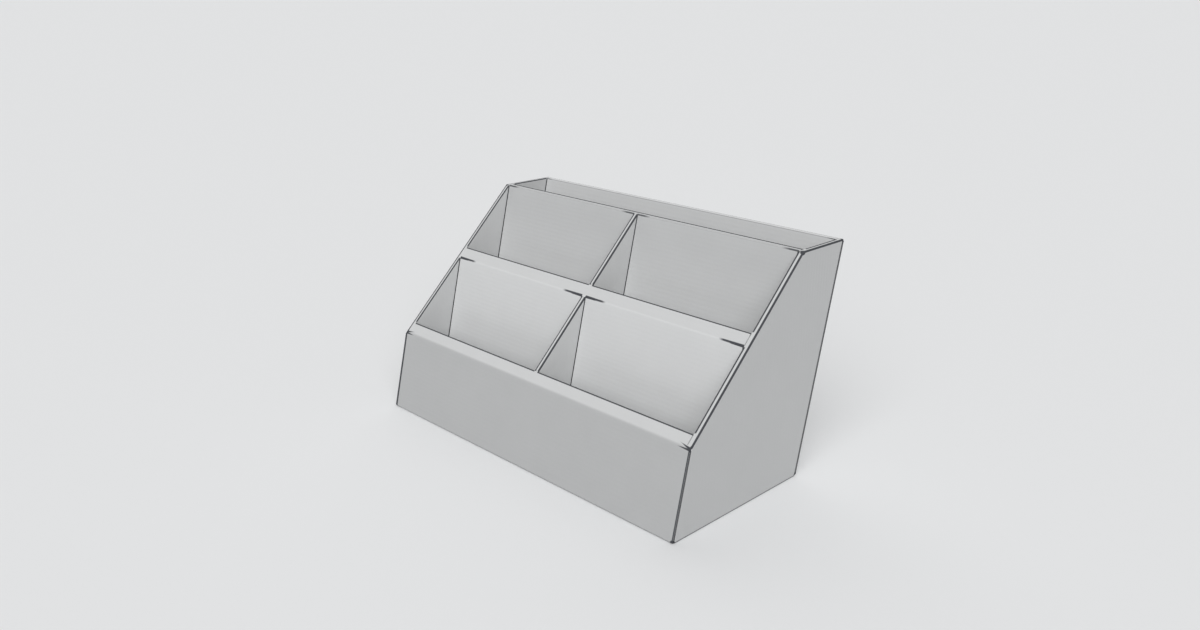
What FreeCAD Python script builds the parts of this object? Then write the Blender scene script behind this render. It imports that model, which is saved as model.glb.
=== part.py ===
import FreeCAD, Part
import math
import os

# A tiered counter display folded from corrugated board: two rows of two pockets and a back trough.
# Sizes are in millimetres and degrees. The origin is on the surface that the stand rests on, under
# the middle of its outline. +X runs along the pocket rows, the front faces -Y and +Z is up.

# The board and its creases
board = 1.5
fold_radius = 0.8
soft_fold_radius = 3.0
sharp_fold_radius = 0.3
inner_fold_radius = 0.3
fit = 0.2

# The whole stand
width = 300.0
front_height = 60.0
full_height = 166.0
lean = 13.0

# Clear depths of the rows, square to the leaning walls
lower_pocket_depth = 35.0
upper_pocket_depth = 35.0
trough_depth = 36.0

# Room that is left between the two plies of each rolled-over wall
wall_room = 1.5
back_room = 0.5
cheek_gap = 1.0
divider_gap = 1.0

# Tabs and glue flaps
foot_tab_width = 30.0
cheek_tab_width = 22.0
end_tab_height = 25.0
divider_tab_height = 18.0
divider_tab_reach = 0.8
tab_rise = 0.3
flap_length = 28.0
flap_taper = 6.0
flap_relief = 1.0

# Thicknesses over both plies. The front, middle, upper and back walls have room for one more ply.
wall = 3 * board + wall_room
back_wall = 3 * board + back_room
cheek = 2 * board + cheek_gap
divider = 2 * board + divider_gap

# Depths behind the front face, square to the leaning walls
middle_front = wall + lower_pocket_depth
middle_back = middle_front + wall
upper_front = middle_back + upper_pocket_depth
upper_back = upper_front + wall
back_front = upper_back + trough_depth
back_face = back_front + back_wall

# Places across the stand, as distances from its middle plane
outer_half = width / 2
inner_half = outer_half - cheek
base_half = outer_half - board - fit

lean_angle = math.radians(lean)
depth_run = 1 / math.cos(lean_angle)
height_run = math.tan(lean_angle)
overall_depth = back_face * depth_run + full_height * height_run
slope_rise = (full_height - front_height) / upper_front
slope_angle = math.atan2(slope_rise, depth_run + slope_rise * height_run)
slope_drop = board * math.cos(lean_angle) / math.cos(slope_angle + lean_angle)

# Tools that cut right through stand this far past the solid
past = 5.0

# A rounding takes at most this share of the shorter side at its corner
longest_setback = 0.45

# Points nearer to each other than this are the same corner
same_corner = 0.01


def place(x, depth, height):
    """The point at a depth behind the leaning front face and a height above the ground."""
    return FreeCAD.Vector(x, depth * depth_run + height * height_run - overall_depth / 2, height)


def slope_height(depth):
    """The height of the sloping plane at a depth behind the front face."""
    return front_height + slope_rise * depth


def under_slope(depth):
    """The height of the lower face of a ply that lies in the sloping plane."""
    return slope_height(depth) - slope_drop


def rounded_wire(points, radii):
    """A closed wire through the points, with each corner rounded to its radius."""
    count = len(points)
    starts = []
    ends = []
    arcs = []
    for index, here in enumerate(points):
        to_last = points[index - 1] - here
        to_next = points[(index + 1) % count] - here
        half_angle = to_last.getAngle(to_next) / 2
        longest = min(to_last.Length, to_next.Length) * longest_setback
        setback = min(radii[index] / math.tan(half_angle), longest)
        to_last.normalize()
        to_next.normalize()
        starts.append(here + to_last * setback)
        ends.append(here + to_next * setback)
        arcs.append([])
        if setback > 0:
            radius = setback * math.tan(half_angle)
            inward = to_last + to_next
            inward.normalize()
            middle = here + inward * (radius / math.sin(half_angle) - radius)
            arcs[index] = [Part.Arc(starts[index], middle, ends[index]).toShape()]
    edges = []
    for index in range(count):
        edges += arcs[index]
        edges.append(Part.makeLine(ends[index], starts[(index + 1) % count]))
    return Part.Wire(edges)


def prism(corners, x_low, x_high):
    """A solid between two x planes. Its corners are (depth, height) or (depth, height, radius)."""
    points = [place(x_low, corner[0], corner[1]) for corner in corners]
    radii = [corner[2] if len(corner) > 2 else 0 for corner in corners]
    face = Part.Face(rounded_wire(points, radii))
    return face.extrude(FreeCAD.Vector(x_high - x_low, 0, 0))


def block(depths, heights, x_range):
    """A leaning block between two depths, two heights and two x planes."""
    low, high = depths
    bottom, top = heights
    corners = [(low, bottom), (low, top), (high, top), (high, bottom)]
    return prism(corners, x_range[0], x_range[1])


def across(centre, length, clearance=0.0):
    """A range of the given length about its centre, widened by a clearance at both ends."""
    return (centre - length / 2 - clearance, centre + length / 2 + clearance)


def mirrored(shape):
    """The same shape on the other side of the middle plane."""
    return shape.mirror(FreeCAD.Vector(0, 0, 0), FreeCAD.Vector(1, 0, 0))


def edges_along(solid, runs):
    """The edges of a solid between pairs of (depth, height) corners, each pair at one x."""
    found = []
    for x, start, end in runs:
        wanted = [place(x, *start), place(x, *end)]
        for edge in solid.Edges:
            points = [vertex.Point for vertex in edge.Vertexes]
            for ends in (wanted, wanted[::-1]):
                if all(point.isEqual(other, same_corner) for point, other in zip(points, ends)):
                    found.append(edge)
    return found


def both_sides(shapes):
    """The shapes together with their mirror images."""
    return shapes + [mirrored(shape) for shape in shapes]


def assemble(body, added, removed):
    """The body with shapes added to it and others then cut from it, as one clean solid."""
    result = body.multiFuse(added) if added else body
    if removed:
        result = result.cut(Part.makeCompound(removed))
    return result.removeSplitter().Solids[0]


# Bottom tabs stand in slots of the base, one under each pocket. A slot takes both plies of a wall.
foot_tab_places = [-inner_half / 2, inner_half / 2]


def foot_tabs(depths, foot):
    """The tabs under one ply, from just above the ground to the foot of the ply."""
    heights = (tab_rise, foot + board)
    return [block(depths, heights, across(x, foot_tab_width)) for x in foot_tab_places]


def foot_slots(front, back):
    """The slots in the base for the tabs of a wall between two depths."""
    depths = (front - fit, back + fit)
    heights = (-past, board + past / 2)
    return [block(depths, heights, across(x, foot_tab_width, fit)) for x in foot_tab_places]


# The tabs at the ends of the middle and upper walls go through the inner plies of the cheeks. Their
# middles stand at these shares of the wall's height.
middle_tab_shares = [0.5]
upper_tab_shares = [0.3, 0.7]
middle_tab_heights = [slope_height(middle_front) * share for share in middle_tab_shares]
upper_tab_heights = [full_height * share for share in upper_tab_shares]


def end_tabs(front, back, heights):
    """The tabs at both ends of both plies of a wall."""
    reach = (inner_half - board, outer_half - board - fit)
    tabs = []
    for height in heights:
        for depths in ((front, front + board), (back - board, back)):
            tabs.append(block(depths, across(height, end_tab_height), reach))
    return both_sides(tabs)


def end_slots(front, back, heights):
    """The slots in the right cheek's inner ply for a wall's end tabs."""
    reach = (inner_half - past, inner_half + board + cheek_gap / 2)
    depths = (front - fit, back + fit)
    return [block(depths, across(height, end_tab_height, fit), reach) for height in heights]


# The divider's tabs go through the inner ply of the front wall and the front ply of the upper wall.
divider_front_tab_height = front_height / 2
divider_rear_tab_height = full_height / 2
divider_half = divider / 2
lap_height = (board + slope_height(middle_front)) / 2


def divider_slot(depths, height):
    """A slot for one of the divider's tabs, through a ply between two depths."""
    return block(depths, across(height, divider_tab_height, fit), across(0, divider, fit))


# The inner plies of the cheeks have foot tabs in notches at the sides of the base, under the pocket
# rows and the trough.
cheek_tab_depths = [
    wall + lower_pocket_depth / 2,
    middle_back + upper_pocket_depth / 2,
    upper_back + trough_depth / 2,
]


def outer_wrap():
    """The front wall, the base and the back wall, folded from one sheet.

    The outer plies cover the whole width. The rolled-over strips and inner plies fit between the
    cheeks, and the base fits between the outer plies of the cheeks.
    """
    foot = board + fit
    section = [
        (wall, foot),
        (wall, slope_height(wall), sharp_fold_radius),
        (0, front_height, soft_fold_radius),
        (0, 0, fold_radius),
        (back_face, 0, fold_radius),
        (back_face, full_height, fold_radius),
        (back_front, full_height, fold_radius),
        (back_front, foot),
        (back_front + board, foot),
        (back_front + board, full_height - board, inner_fold_radius),
        (back_face - board, full_height - board, inner_fold_radius),
        (back_face - board, board, inner_fold_radius),
        (board, board, inner_fold_radius),
        (board, under_slope(board), inner_fold_radius),
        (wall - board, under_slope(wall - board), inner_fold_radius),
        (wall - board, foot),
    ]
    folded = prism(section, -outer_half, outer_half)
    between_outer_plies = (board, back_face - board)
    above = full_height + past
    beyond = outer_half + past
    trims = [
        block(between_outer_plies, (board, above), (inner_half - fit, beyond)),
        block(between_outer_plies, (-past, above), (base_half, beyond)),
    ]
    for depth in cheek_tab_depths:
        notch = across(depth, cheek_tab_width, fit)
        trims.append(block(notch, (-past, board + past), (inner_half - fit, outer_half)))
    trimmed = assemble(folded, [], both_sides(trims))

    slots = foot_slots(wall - board, wall)
    slots += foot_slots(middle_front, middle_back)
    slots += foot_slots(upper_front, upper_back)
    slots += foot_slots(back_front, back_front + board)
    slots.append(divider_slot((wall - board - wall_room / 2, wall + past), divider_front_tab_height))
    tabs = foot_tabs((wall - board, wall), foot)
    tabs += foot_tabs((back_front, back_front + board), foot)
    return assemble(assemble(trimmed, [], slots), tabs, [])


def glue_flap(front, heights):
    """A tapered flap of one ply on the right cheek, folded in behind an outer ply."""
    bottom, top = heights
    hinge = outer_half - board
    tip = hinge - flap_length
    points = [
        place(hinge, front, bottom),
        place(tip, front, bottom + flap_taper),
        place(tip, front, top - flap_taper),
        place(hinge, front, top),
    ]
    face = Part.Face(Part.makePolygon(points + points[:1]))
    through = FreeCAD.Vector(0, math.cos(lean_angle), -math.sin(lean_angle)) * board
    return face.extrude(through)


def right_cheek():
    """One end of the stand: a sheet rolled over the slope and the flat top into a double wall.

    Its outer ply stands on the ground beside the base and its inner ply stands on the base. The glue
    flaps fold in from the outer ply, behind the outer plies of the front and back walls.
    """
    front = board
    back = back_face - board
    outline = [
        (front, 0),
        (front, slope_height(front)),
        (upper_front, full_height),
        (back, full_height),
        (back, 0),
    ]
    solid = prism(outline, inner_half, outer_half)
    foot_front, slope_foot, slope_top, rim_back, foot_back = outline
    rims = [(x, start, end) for x in (inner_half, outer_half)
            for start, end in ((slope_foot, slope_top), (slope_top, rim_back))]
    corners = [(outer_half, foot_front, slope_foot), (outer_half, rim_back, foot_back)]
    solid = solid.makeFillet(fold_radius, edges_along(solid, rims + corners))

    inner_face = outer_half - board
    turn_depth = upper_front + (slope_drop - board) / slope_rise
    hollow = [
        (front + board, -past),
        (front + board, under_slope(front + board)),
        (turn_depth, full_height - board),
        (back - board, full_height - board),
        (back - board, -past),
    ]
    gap = prism(hollow, inner_half + board, inner_face)
    front_trim = prism([
        (front - past, -past),
        (front - past, under_slope(front - past)),
        (front + board + fit, under_slope(front + board + fit)),
        (front + board + fit, -past),
    ], inner_half - past, inner_face)
    back_trim = block((back - board - fit, back + past), (-past, full_height - board),
                      (inner_half - past, inner_face))
    base_trim = block((-past, back_face + past), (-past, board), (inner_half - past, inner_face))
    slots = end_slots(middle_front, middle_back, middle_tab_heights)
    slots += end_slots(upper_front, upper_back, upper_tab_heights)
    plies = assemble(solid, [], [gap, front_trim, back_trim, base_trim] + slots)

    flap_foot = board + flap_relief
    added = [
        glue_flap(front, (flap_foot, under_slope(front) - flap_relief)),
        glue_flap(back - board, (flap_foot, full_height - board - flap_relief)),
    ]
    inner_ply = (inner_half, inner_half + board)
    for depth in cheek_tab_depths:
        added.append(block(across(depth, cheek_tab_width), (tab_rise, 2 * board), inner_ply))
    return assemble(plies, added, [])


def rolled_wall(front, back, tops, tab_heights):
    """A cross wall between the cheeks: two plies that stand on the base, joined by a top strip.

    tops holds the outer corners and then the inner corners of the strip.
    """
    outer_back, outer_front, inner_front, inner_back = tops
    section = [
        (back, board),
        outer_back,
        outer_front,
        (front, board),
        (front + board, board),
        inner_front,
        inner_back,
        (back - board, board),
    ]
    folded = prism(section, fit - inner_half, inner_half - fit)
    tabs = foot_tabs((front, front + board), board) + foot_tabs((back - board, back), board)
    return assemble(folded, tabs + end_tabs(front, back, tab_heights), [])


def middle_wall():
    """The wall between the lower and upper pockets, with its strip in the sloping plane."""
    front, back = middle_front, middle_back
    tops = [
        (back, slope_height(back), sharp_fold_radius),
        (front, slope_height(front), soft_fold_radius),
        (front + board, under_slope(front + board), inner_fold_radius),
        (back - board, under_slope(back - board), inner_fold_radius),
    ]
    lap = block((front - past, back + past), (-past, lap_height + fit), across(0, divider, fit))
    return assemble(rolled_wall(front, back, tops, middle_tab_heights), [], [lap])


def upper_wall():
    """The wall between the upper pockets and the trough, with a flat top strip."""
    front, back = upper_front, upper_back
    tops = [
        (back, full_height, fold_radius),
        (front, full_height, fold_radius),
        (front + board, full_height - board, inner_fold_radius),
        (back - board, full_height - board, inner_fold_radius),
    ]
    slot = divider_slot((front - past, front + board + wall_room / 2), divider_rear_tab_height)
    return assemble(rolled_wall(front, back, tops, upper_tab_heights), [], [slot])


def centre_divider():
    """The divider of both pocket rows, rolled over its sloping edge and lapped with the middle wall."""
    front = wall + fit
    back = upper_front - fit
    outline = [
        (front, board),
        (front, slope_height(front)),
        (back, slope_height(back)),
        (back, board),
    ]
    solid = prism(outline, -divider_half, divider_half)
    rims = [(x, outline[1], outline[2]) for x in (-divider_half, divider_half)]
    solid = solid.makeFillet(fold_radius, edges_along(solid, rims))
    front_tab = block((wall - board - divider_tab_reach, front + board),
                      across(divider_front_tab_height, divider_tab_height), across(0, divider))
    rear_tab = block((back - board, upper_front + board + divider_tab_reach),
                     across(divider_rear_tab_height, divider_tab_height), across(0, divider))
    hollow = prism([
        (-past, -past),
        (-past, under_slope(-past)),
        (upper_back, under_slope(upper_back)),
        (upper_back, -past),
    ], -divider_gap / 2, divider_gap / 2)
    lap_depths = (middle_front - fit, middle_back + fit)
    lap = block(lap_depths, (lap_height, full_height), across(0, divider + board))
    return assemble(solid, [front_tab, rear_tab], [hollow, lap])


os.makedirs("parts", exist_ok=True)
cheek_solid = right_cheek()
pieces = {
    "outer_wrap": outer_wrap(),
    "right_cheek": cheek_solid,
    "left_cheek": mirrored(cheek_solid),
    "middle_wall": middle_wall(),
    "upper_wall": upper_wall(),
    "centre_divider": centre_divider(),
}
for name, shape in pieces.items():
    shape.exportStep("parts/" + name + ".step")
    box = shape.BoundBox
    print(name, shape.isValid(), len(shape.Faces), round(shape.Volume), [
        round(value, 2) for value in (box.XMin, box.XMax, box.YMin, box.YMax, box.ZMin, box.ZMax)])
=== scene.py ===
import math

import bmesh
import bpy
from mathutils import Matrix, Vector


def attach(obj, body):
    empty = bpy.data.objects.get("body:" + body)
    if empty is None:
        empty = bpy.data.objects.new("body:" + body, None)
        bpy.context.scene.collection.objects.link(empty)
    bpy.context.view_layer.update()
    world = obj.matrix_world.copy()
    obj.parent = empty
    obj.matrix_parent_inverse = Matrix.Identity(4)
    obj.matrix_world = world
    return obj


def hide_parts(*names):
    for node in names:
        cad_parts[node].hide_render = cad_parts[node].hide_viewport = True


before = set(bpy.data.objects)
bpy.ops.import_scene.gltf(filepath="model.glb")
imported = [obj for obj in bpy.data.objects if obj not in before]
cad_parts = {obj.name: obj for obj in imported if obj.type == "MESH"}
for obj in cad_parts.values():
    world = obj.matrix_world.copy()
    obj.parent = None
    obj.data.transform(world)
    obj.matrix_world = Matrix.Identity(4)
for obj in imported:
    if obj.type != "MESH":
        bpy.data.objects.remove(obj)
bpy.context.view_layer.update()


# Camera: looks down on the stand from its right front corner, upright apart from a slight roll,
# with the whole 1200 x 630 view and no depth of field.
view_azimuth = 44.845
view_elevation = 18.716
view_roll = 0.4066
lens_data = bpy.data.cameras.new("camera")
lens_data.sensor_width = 36.0
lens_data.lens = 30.859
lens_data.clip_end = 200.0
camera = bpy.data.objects.new("camera", lens_data)
aim = Matrix.Rotation(math.radians(view_azimuth), 3, "Z")
aim = aim @ Matrix.Rotation(math.radians(90 - view_elevation), 3, "X")
aim = aim @ Matrix.Rotation(math.radians(view_roll), 3, "Z")
camera.matrix_world = Matrix.Translation((0.51337, -0.51613, 0.34110)) @ aim.to_4x4()
bpy.context.scene.collection.objects.link(camera)
bpy.context.scene.camera = camera
bpy.context.scene.view_settings.view_transform = "Standard"


# Ground and light: a plain pale tabletop that runs out of sight, under an even white ceiling of
# light, with a wide soft lamp at the right front and a weaker one behind the stand to the left.
ground_colour = (0.816, 0.824, 0.832)
ground_in_view = (0.758, 0.765, 0.773)
ceiling_strength = 0.32
lamps = {
    "front_lamp": (2.21, 60, (0.489, -0.568, 0.662)),
    "rear_lamp": (0.59, 60, (-0.5, 0.5, 0.707)),
}


class Shade:
    """A number, colour or vector inside a material. Sums on numbers add their Math nodes."""

    def __init__(self, tree, socket=None):
        self.tree = tree
        self.socket = socket

    def node(self, kind, settings=None, inputs=None, out=0):
        """Any other node: its type, its settings, and the values or links of its sockets."""
        made = self.tree.nodes.new(kind)
        for name, value in (settings or {}).items():
            setattr(made, name, value)
        for name, value in (inputs or {}).items():
            if isinstance(value, Shade):
                self.tree.links.new(value.socket, made.inputs[name])
            else:
                made.inputs[name].default_value = value
        return Shade(self.tree, made.outputs[out] if made.outputs else None)

    def maths(self, operation, *values):
        return self.node("ShaderNodeMath", {"operation": operation}, dict(enumerate(values)))

    def __add__(self, other):
        return self.maths("ADD", self, other)

    __radd__ = __add__

    def __sub__(self, other):
        return self.maths("SUBTRACT", self, other)

    def __rsub__(self, other):
        return self.maths("SUBTRACT", other, self)

    def __mul__(self, other):
        return self.maths("MULTIPLY", self, other)

    __rmul__ = __mul__

    def __truediv__(self, other):
        return self.maths("DIVIDE", self, other)

    def __abs__(self):
        return self.maths("ABSOLUTE", self)

    def least(self, other):
        return self.maths("MINIMUM", self, other)

    def most(self, other):
        return self.maths("MAXIMUM", self, other)

    def sine(self):
        return self.maths("SINE", self)

    def away(self, other):
        """The straight distance, from two distances at right angles."""
        return self.maths("SQRT", self * self + other * other)

    def fade(self, full, none):
        """1 as far as full, 0 from none on, and smooth between them."""
        ends = {"Value": self, "From Min": full, "From Max": none, "To Min": 1.0, "To Max": 0.0}
        return self.node("ShaderNodeMapRange", {"interpolation_type": "SMOOTHSTEP"}, ends)


world = bpy.data.worlds.new("ceiling")
world.use_nodes = True
world.node_tree.nodes.clear()
sky = Shade(world.node_tree)
rays = sky.node("ShaderNodeLightPath", out="Is Camera Ray")
glossy = sky.node("ShaderNodeLightPath", out="Is Glossy Ray")
through = sky.node("ShaderNodeLightPath", out="Is Transmission Ray")
shown = rays.most(glossy).most(through)
white_light = sky.node(
    "ShaderNodeBackground", inputs={"Color": (1, 1, 1, 1), "Strength": ceiling_strength}
)
pale_ground = sky.node(
    "ShaderNodeBackground", inputs={"Color": (*ground_in_view, 1), "Strength": 1.0}
)
seen = sky.node("ShaderNodeMixShader", inputs={0: shown, 1: white_light, 2: pale_ground})
sky.node("ShaderNodeOutputWorld", inputs={"Surface": seen})
bpy.context.scene.world = world

for lamp_name, (strength, spread, towards) in lamps.items():
    lamp_data = bpy.data.lights.new(lamp_name, "SUN")
    lamp_data.energy = strength
    lamp_data.angle = math.radians(spread)
    lamp = bpy.data.objects.new(lamp_name, lamp_data)
    lamp.rotation_euler = Vector(towards).to_track_quat("Z", "Y").to_euler()
    bpy.context.scene.collection.objects.link(lamp)

ground_mesh = bpy.data.meshes.new("ground")
ground_form = bmesh.new()
bmesh.ops.create_circle(ground_form, cap_ends=True, segments=64, radius=60)
bmesh.ops.translate(ground_form, verts=ground_form.verts, vec=(0, 0, -0.0003))
ground_form.to_mesh(ground_mesh)
ground_form.free()
ground = bpy.data.objects.new("ground", ground_mesh)
bpy.context.scene.collection.objects.link(ground)
ground_paint = bpy.data.materials.new("ground")
ground_paint.use_nodes = True
ground_paint.node_tree.nodes.clear()
matt = Shade(ground_paint.node_tree).node(
    "ShaderNodeBsdfDiffuse", inputs={"Color": (*ground_colour, 1), "Roughness": 0.0}
)
matt.node("ShaderNodeOutputMaterial", inputs={"Surface": matt})
ground_mesh.materials.append(ground_paint)


# Front wall, base and back wall: one sheet of grey-coated micro-flute board, scored and folded up
# at both ends and rolled over at the tops. The coat is matt, and darker where a fold has rubbed it
# and at the cut ends, where the flutes show. Its faces carry painted shading, and the back wall's
# inner corners a painted shadow line.
lean = math.radians(13)
half_deep = 85.3587
front_height = 60.0
full_height = 166.0
front_rear, middle_front, middle_rear, upper_front, upper_rear = 6.0, 41.0, 47.0, 82.0, 88.0
back_front, back_rear = 124.0, 129.0
middle_centre = (middle_front + middle_rear) / 2
upper_centre = (upper_front + upper_rear) / 2
half_wall = (middle_rear - middle_front) / 2
board = 1.5
flute_deep = 0.45
half_wide = 150.0
cheek_inside = 146.0
roll_end = 145.8
divider_side = 2.0
board_dark = (0.43, 0.435, 0.438)
board_pale = (0.70, 0.707, 0.71)
line_colour = (0.050, 0.053, 0.060)
flute_pitch = 3.2
touching = 1e-6
sharpest_bend = math.radians(31)
thin_line = (0.3, 0.6)
slope_foot = -half_deep + front_height * math.tan(lean)
slope_head = -half_deep + upper_front / math.cos(lean) + full_height * math.tan(lean)
slope_angle = math.atan2(full_height - front_height, slope_head - slope_foot)


def slope_height(depth):
    return front_height + depth * (full_height - front_height) / upper_front


class Board:
    """The grey coated board of one piece, with places read in millimetres."""

    def __init__(self, name):
        self.material = bpy.data.materials.new(name)
        self.material.use_nodes = True
        self.tree = self.material.node_tree
        self.shader = self.tree.nodes["Principled BSDF"]
        metres = Shade(self.tree).node("ShaderNodeTexCoord", out="Object")
        self.spot = metres.node(
            "ShaderNodeVectorMath", {"operation": "SCALE"}, {0: metres, "Scale": 1000.0}
        )
        axes = self.spot.node("ShaderNodeSeparateXYZ", inputs={0: self.spot})
        outs = axes.socket.node.outputs
        self.x, self.y, self.height = (Shade(self.tree, outs[axis]) for axis in range(3))
        self.side = abs(self.x)
        self.depth = (self.y - self.height * math.tan(lean) + half_deep) * math.cos(lean)
        foot = slope_foot * math.sin(slope_angle) - front_height * math.cos(slope_angle)
        slope = self.y * math.sin(slope_angle) - self.height * math.cos(slope_angle) - foot
        self.below_rim = abs(slope.least(full_height - self.height))

    def fold(self, depth, height):
        """The distance from a fold that runs across the stand at this depth and height."""
        y = depth / math.cos(lean) + height * math.tan(lean) - half_deep
        return (self.y - y).away(self.height - height)

    def sharp_fold(self, depth, height, radius=0.3):
        """The distance from the middle of a fold bent back on itself, behind a sloping strip."""
        half = (math.pi / 2 - lean - slope_angle) / 2
        across = radius / math.sin(half)
        y = depth / math.cos(lean) + height * math.tan(lean) - half_deep
        y -= across * math.cos(slope_angle + half)
        return (self.y - y).away(self.height - height + across * math.sin(slope_angle + half))

    def rim_edge(self, side, on_rim, on_face):
        """The rubbed fold along the rim at this distance from the middle, and its two widths."""
        across = self.below_rim / on_face
        return across.away((self.side - side) / on_rim).fade(0.85, 1.15)

    def near(self, reading, spot, full, none):
        return abs(reading - spot).fade(full, none)

    def crease(self, reach, across, length, width):
        """A pinched crease, widest at its root and tapering off along its reach."""
        return (abs(across) - (width - reach * (width / length))).fade(0.0, 0.3)

    def corner(self, depth, height, radius=2.5):
        """A scuffed corner of the outline, at the ends of a fold."""
        spot = self.fold(depth, height).away(half_wide - self.side)
        return spot.fade(radius - 0.3, radius + 0.3)

    def corners(self):
        """The scuffed outer corners, and the front fold's two creases at each end."""
        worn = self.corner(0, 0).most(self.corner(0, front_height, 1.5))
        worn = worn.most(self.corner(upper_front, full_height))
        worn = worn.most(self.corner(back_rear, full_height)).most(self.corner(back_rear, 0))
        reach = half_wide - self.side
        at_fold = self.fold(0, front_height) - 0.1
        worn = worn.most(self.crease(reach, at_fold, 8.0, 0.6))
        above = self.depth - 0.4 - reach * 0.12
        raised = self.crease(reach, above, 6.5, 0.4) * self.below_rim.fade(0.2, 0.4)
        return worn.most(raised)

    def noise(self, scale, detail=2.0, stretch=(1, 1, 1)):
        spot = self.spot.node("ShaderNodeMapping", inputs={"Vector": self.spot, "Scale": stretch})
        return spot.node(
            "ShaderNodeTexNoise", inputs={"Vector": spot, "Scale": scale, "Detail": detail}
        )

    def mix(self, factor, first, second):
        colours = {0: factor, 6: first, 7: second}
        return self.spot.node("ShaderNodeMix", {"data_type": "RGBA"}, colours, out=2)

    def paint(self, tone, dark, ripple):
        """Coats the board: tone from 0 to 1, with painted shading on some pieces, dark at folds and
        edges and at painted shadow lines in corners, ripple over flutes.
        """
        cloud = self.noise(0.045, 3.0)
        fibre = self.noise(1.4, 3.0, (1, 1, 0.45))
        wave = (ripple * (2 * math.pi / flute_pitch)).sine()
        shade = tone + (cloud - 0.5) * 0.10 + (fibre - 0.5) * 0.10 + wave * 0.006
        coat = self.mix(shade, (*board_dark, 1), (*board_pale, 1))
        colour = self.mix(dark, coat, (*line_colour, 1))
        rough = 0.66 + (cloud - 0.5) * 0.16 + dark * 0.12
        relief = wave * 0.010 + fibre * 0.016 - dark * 0.05
        bump = relief.node(
            "ShaderNodeBump", inputs={"Strength": 1.0, "Distance": 0.001, "Height": relief}
        )
        self.shader.inputs["Specular IOR Level"].default_value = 0.35
        for name, value in (("Base Color", colour), ("Roughness", rough), ("Normal", bump)):
            self.tree.links.new(value.socket, self.shader.inputs[name])


wrap = Board("wrap_board")
open_strip = 1 - wrap.side.fade(divider_side - 0.6, divider_side - 0.3)
strip_line = wrap.sharp_fold(front_rear, slope_height(front_rear)).fade(0.55, 0.9) * open_strip
fold_ends = (half_wide - wrap.side).fade(1.5, 6.0)
foot_line = wrap.fold(0, 0).fade(0.5, 0.9) * (0.35 + fold_ends * 0.5)
rear_foot_line = wrap.fold(back_rear, 0).fade(0.5, 0.9) * 0.6
trough_ends = (roll_end - wrap.side).fade(2, 8)
trough_line = wrap.fold(back_front, full_height).fade(0.35, 0.65) * (0.45 + trough_ends * 0.5)
to_back = back_rear - wrap.depth
top_line = to_back.fade(1.0, 1.4) * (full_height - wrap.height).fade(0.6, 1.0) * 0.75
in_outer_ply = wrap.depth.fade(board, board + 0.4).most(to_back.fade(board, board + 0.4))
to_end = (half_wide - wrap.side) * (1 - wrap.x.fade(-1, 1) * wrap.depth.fade(5, 10) * 0.45)
cut_ends = to_end.fade(1.0, 1.35) * in_outer_ply
# A painted shadow line down the back wall's inner corners, where it meets the cheeks.
inner_corner_shade = (roll_end - wrap.side).fade(*thin_line)
inner_corner_shade = inner_corner_shade * wrap.near(wrap.depth, back_front, 0.2, 0.4)
wrap_lines = strip_line.most(foot_line).most(rear_foot_line).most(trough_line)
wrap_lines = wrap_lines.most(top_line).most(cut_ends).most(inner_corner_shade).most(wrap.corners())
# Painted shading: outer faces darker, the back wall's inside paler to lift the trough's shade.
wrap_shaded_tone = 0.55 - wrap.depth.fade(0.1, 1.3) * 0.50 + (1 - wrap.depth.fade(123, 123.8)) * 0.20
wrap_shaded_tone = wrap_shaded_tone - to_back.fade(0.1, 1.0) * 0.34
wrap.paint(wrap_shaded_tone, wrap_lines, wrap.height)

# The wrap's own sheet ends where its flutes begin.
sheet_end = (half_wide - flute_deep) / 1000
form = bmesh.new()
form.from_mesh(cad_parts["outer_wrap"].data)
bmesh.ops.remove_doubles(form, verts=form.verts, dist=touching)
for corner in form.verts:
    corner.co.x = min(max(corner.co.x, -sheet_end), sheet_end)
wrap_mesh = bpy.data.meshes.new("wrap_board")
form.to_mesh(wrap_mesh)
form.free()
if "custom_normal" in wrap_mesh.attributes:
    wrap_mesh.attributes.remove(wrap_mesh.attributes["custom_normal"])
wrap_mesh.shade_smooth()
wrap_mesh.set_sharp_from_angle(angle=sharpest_bend)
wrap_mesh.materials.clear()
wrap_mesh.materials.append(wrap.material)
wrap_board = bpy.data.objects.new("wrap_board", wrap_mesh)
bpy.context.scene.collection.objects.link(wrap_board)
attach(wrap_board, "root")
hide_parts("outer_wrap")


# Cut edges: the outer plies of the front and back walls end in open edges, where the board shows
# its flutes: a waved core glued between two liners. One flute is made and repeated along each edge.
liner = 0.22
core = 0.18


def repeat_tree():
    """A tree that repeats its mesh Count times, each a Step further on, and joins the copies."""
    tree = bpy.data.node_groups.new("repeated_flute", "GeometryNodeTree")
    inputs = {"Flute": "Geometry", "Count": "Int", "Step": "Vector", "Board": "Material"}
    for name, kind in inputs.items():
        tree.interface.new_socket(name, in_out="INPUT", socket_type="NodeSocket" + kind)
    tree.interface.new_socket("Edge", in_out="OUTPUT", socket_type="NodeSocketGeometry")
    given = Shade(tree).node("NodeGroupInput").socket.node.outputs
    flute, count, step, finish = (Shade(tree, socket) for socket in given[:4])
    line = flute.node("GeometryNodeMeshLine", {"mode": "OFFSET"}, {"Count": count, "Offset": step})
    laid = line.node("GeometryNodeInstanceOnPoints", inputs={"Points": line, "Instance": flute})
    joined = laid.node("GeometryNodeRealizeInstances", inputs={0: laid})
    coated = joined.node("GeometryNodeSetMaterial", inputs={"Geometry": joined, "Material": finish})
    coated.node("NodeGroupOutput", inputs={0: coated})
    return tree


flute_tree = repeat_tree()


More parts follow.
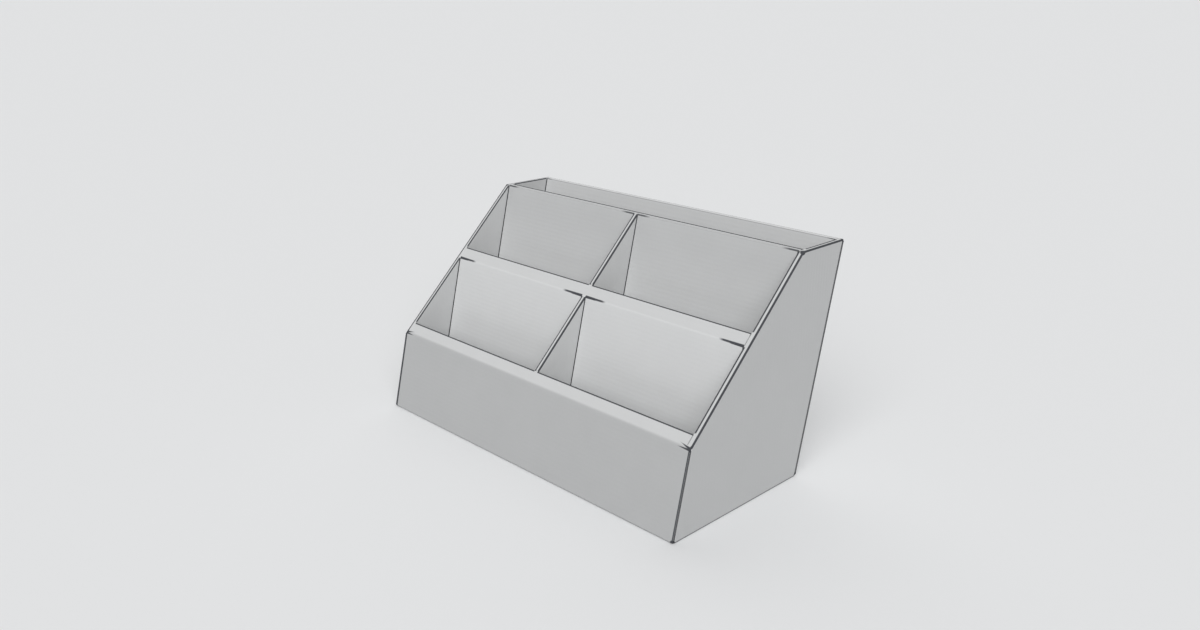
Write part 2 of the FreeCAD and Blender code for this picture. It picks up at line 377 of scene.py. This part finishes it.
def flute_edge(name, start, end, through, outward, finish):
    """The open flutes along a cut edge, between two points on its near side in millimetres.

    through points across the board's thickness, and outward is the way that the edge faces.
    """
    count = round((end - start).length / flute_pitch)
    pitch = (end - start).length / count
    along = (end - start).normalized()
    sweep = (board - 2 * liner - core) / 2
    steps = 16
    bands = [[(0, 0), (0, liner)], [(0, board - liner), (0, board)]]
    outlines = [[[(run, level) for run in (0, pitch)] for _, level in band] for band in bands]
    wave = []
    for index in range(steps + 1):
        turn = 2 * math.pi * index / steps
        rise = math.atan(sweep * 2 * math.pi / pitch * math.cos(turn))
        wave.append((pitch * index / steps, board / 2 + sweep * math.sin(turn), rise))
    outlines.append([
        [(run + side * core / 2 * math.sin(rise), level - side * core / 2 * math.cos(rise))
         for run, level, rise in wave] for side in (1, -1)
    ])
    form = bmesh.new()
    for low, high in outlines:
        rows = []
        for points, out in ((low, 0), (high, 0), (high, flute_deep), (low, flute_deep)):
            spots = [start + along * run + through * level + outward * out for run, level in points]
            rows.append([form.verts.new(spot / 1000) for spot in spots])
        for here, there in zip(rows, rows[1:] + rows[:1]):
            for index in range(len(here) - 1):
                form.faces.new((here[index], here[index + 1], there[index + 1], there[index]))
    bmesh.ops.recalc_face_normals(form, faces=form.faces)
    mesh = bpy.data.meshes.new(name + "_flute")
    form.to_mesh(mesh)
    form.free()
    unit = bpy.data.objects.new(name + "_flute", mesh)
    bpy.context.scene.collection.objects.link(unit)
    repeat = unit.modifiers.new("repeat", "NODES")
    repeat.node_group = flute_tree
    values = {"Count": count, "Step": along * pitch / 1000, "Board": finish.material}
    for socket in flute_tree.interface.items_tree:
        if socket.name in values:
            repeat[socket.identifier] = values[socket.name]
    evaluated = unit.evaluated_get(bpy.context.evaluated_depsgraph_get())
    whole = bpy.data.meshes.new_from_object(evaluated)
    bpy.data.objects.remove(unit)
    form = bmesh.new()
    form.from_mesh(whole)
    bmesh.ops.remove_doubles(form, verts=form.verts, dist=touching)
    bmesh.ops.holes_fill(form, edges=form.edges)
    bmesh.ops.recalc_face_normals(form, faces=form.faces)
    form.to_mesh(whole)
    form.free()
    whole.materials.clear()
    whole.materials.append(finish.material)
    piece = bpy.data.objects.new(name, whole)
    bpy.context.scene.collection.objects.link(piece)
    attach(piece, "root")


def place(x, depth, height):
    """A point in millimetres, at a depth behind the leaning front and a height above the ground."""
    return Vector((x, depth / math.cos(lean) + height * math.tan(lean) - half_deep, height))


cut = Board("cut_edge_board")
cut_dark = (cut.noise(2.5) * 0.3 + 0.6).most(cut.corners())
cut.paint(cut.noise(0.6) * 0.3, cut_dark, cut.height)
rearwards = Vector((0, math.cos(lean), -math.sin(lean)))
for side_name, side in (("left", -1), ("right", 1)):
    set_in = side * (half_wide - flute_deep)
    outward = Vector((side, 0, 0))
    for wall_name, depth, top in (
        ("front", 0, front_height - 0.5), ("back", back_rear - board, full_height - 0.9)
    ):
        flute_edge(side_name + "_" + wall_name + "_cut_edge", place(set_in, depth, 1.0),
                   place(set_in, depth, top), rearwards, outward, cut)


# Cheeks: one sheet each, rolled over its sloped edge and its flat top edge into a double wall, with
# glue flaps in the hollow front and back walls. The folds along the rims are rubbed dark, but not
# where a wall's strip meets them. The outer face is painted darker as painted shading, and the
# inner face has painted shadow lines in the corners where the walls meet it.
def coat(node, finish):
    """Gives a piece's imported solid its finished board."""
    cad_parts[node].material_slots[0].material = finish.material


# The dark widths along the rims: on the rim and down the face, at the outer fold, then the inner.
rim_widths = {"left_cheek": (1.6, 0.9, 1.0, 0.6), "right_cheek": (0.9, 1.2, 1.45, 0.9)}
for side_name, (outer_rim, outer_face, inner_rim, inner_face) in rim_widths.items():
    sheet = Board(side_name + "_board")
    strips = sheet.depth.fade(front_rear, front_rear + 0.3)
    strips = strips.most(sheet.near(sheet.depth, middle_centre, half_wall, half_wall + 0.3))
    strips = strips.most(sheet.near(sheet.depth, upper_centre, half_wall, half_wall + 0.3))
    strips = strips.most((back_front - sheet.depth).fade(0.0, 0.3))
    flat_top = sheet.depth.fade(upper_front + 4, upper_front)
    outer_edge = sheet.rim_edge(half_wide, outer_rim, outer_face)
    inner_edge = sheet.rim_edge(cheek_inside, flat_top * 0.5 + inner_rim, inner_face)
    inner_edge = inner_edge * (1 - strips)
    # Painted shadow lines down the cheek's inner face, in the corners where the walls meet it.
    seam_shade = sheet.near(sheet.depth, front_rear, *thin_line)
    for face in (middle_front, middle_rear, upper_front, upper_rear, back_front):
        seam_shade = seam_shade.most(sheet.near(sheet.depth, face, *thin_line))
    seam_shade = seam_shade * (sheet.side - cheek_inside).fade(0.05, 0.2)
    ground_line = sheet.height.fade(0.3, 0.7) * (half_wide - sheet.side).fade(0.1, 0.3) * 0.85
    cheek_lines = outer_edge.most(inner_edge).most(seam_shade).most(ground_line).most(sheet.corners())
    # Painted shading: the cheek's outer face is painted darker than its rims and inner face.
    cheek_shaded_tone = 0.57 - (half_wide - sheet.side).fade(0.2, 0.8) * 0.34
    sheet.paint(cheek_shaded_tone, cheek_lines, sheet.y)
    coat(side_name, sheet)


# Middle wall: one sheet rolled over its bevelled top, with tabs at its ends and foot. Its front
# face is painted paler than the rest, most of all low down, as painted light against the pocket's
# shade, and the soft front fold shows only where it was pinched at its ends. Painted shadow lines
# run down its faces' corners at the divider and the cheeks.
middle = Board("middle_wall_board")
open_strip = 1 - middle.side.fade(divider_side - 0.6, divider_side - 0.3)
rear_line = middle.sharp_fold(middle_rear, slope_height(middle_rear)).fade(0.5, 0.85) * open_strip
at_fold = middle.fold(middle_front, slope_height(middle_front)) - 0.1
reach = (roll_end - middle.side).least(middle.side - divider_side)
pinch = middle.crease(reach, at_fold, 34, 0.6) * reach.fade(9, 13)
thin = middle.crease(reach, middle.depth - middle_front - 0.3, 34, 0.25)
pinch = pinch.most(thin * middle.below_rim.fade(0.2, 0.4)) * reach.fade(16, 21)
pinch = pinch * (1 - middle.side.fade(divider_side - 0.4, divider_side))
faces = middle.near(abs(middle.depth - middle_centre), half_wall, 0.15, 0.4)
# Painted shadow lines down the front and rear faces, in the corners at the divider and the cheeks.
beside = middle.near(middle.side, divider_side, 0.4, 0.7)
beside = beside.most((roll_end - middle.side).fade(*thin_line))
middle_lines = rear_line.most(pinch).most(beside * faces)
# Painted light: the front face is painted paler, more so low down, to lift the pocket's shade.
middle_shaded_tone = middle.height.fade(60, 108) * 0.14 + 0.22
middle_shaded_tone = 0.57 + middle.near(middle.depth, middle_front, 0.05, 0.7) * middle_shaded_tone
middle.paint(middle_shaded_tone, middle_lines, middle.height)
coat("middle_wall", middle)


# Upper wall: one sheet rolled over its flat top, with tabs at its ends and foot as the middle wall
# has. Its rear fold is rubbed along its whole length, the front one beside the cheeks and divider.
# Its face is painted paler low down and darker towards its top, as painted shading, with painted
# shadow lines in its corners at the divider and the cheeks.
upper = Board("upper_wall_board")
open_strip = 1 - upper.side.fade(divider_side - 0.6, divider_side - 0.3)
below_top = full_height - upper.height
rear_line = (upper_rear - upper.depth).fade(2.5, 2.9) * below_top.fade(0.6, 1.0)
pinched = (roll_end - upper.side).fade(6, 14).most((upper.side - divider_side).fade(6, 14))
pinch = upper.fold(upper_front, full_height).fade(0.75, 1.1) * open_strip
pinch = pinch * (0.10 + pinched * 0.80)
faces = upper.near(abs(upper.depth - upper_centre), half_wall, 0.15, 0.4)
in_front = (upper_front + 2 - upper.depth).fade(0, -1)
# Painted shadow lines in the face corners: at the divider on the front face, at the cheeks on both.
beside = upper.near(upper.side, divider_side, 0.4, 0.7) * in_front
beside = beside.most((roll_end - upper.side).fade(*thin_line))
upper_lines = rear_line.most(pinch).most(beside * faces)
# Painted light: paler low down to lift the pocket's shade, darker towards the top.
upper_shaded_tone = 0.30 + upper.height.fade(98, 160) * 0.60
upper.paint(upper_shaded_tone, upper_lines, upper.height)
coat("upper_wall", upper)


# Centre divider: one sheet rolled over its sloped edge, half-lapped with the middle wall, whose
# strip runs on over it, with its rear end against the upper wall. Painted shadow lines run down its
# faces where the walls meet them.
divider = Board("divider_board")
left_half = divider.x.fade(-0.2, 0.2)
left_edge = divider.rim_edge(divider_side, 1.4, 0.9) * left_half
right_edge = divider.rim_edge(divider_side, 1.1, 0.9) * (1 - left_half)
# Painted shadow lines down the divider's faces, in the corners where the walls meet it.
seam_shade = divider.near(divider.depth, front_rear, *thin_line)
for face in (middle_front, middle_rear, upper_front):
    seam_shade = seam_shade.most(divider.near(divider.depth, face, *thin_line))
seam_shade = seam_shade * (divider_side - divider.side).fade(0.05, 0.2)
divider.paint(0.58, left_edge.most(right_edge).most(seam_shade), divider.y)
coat("centre_divider", divider)
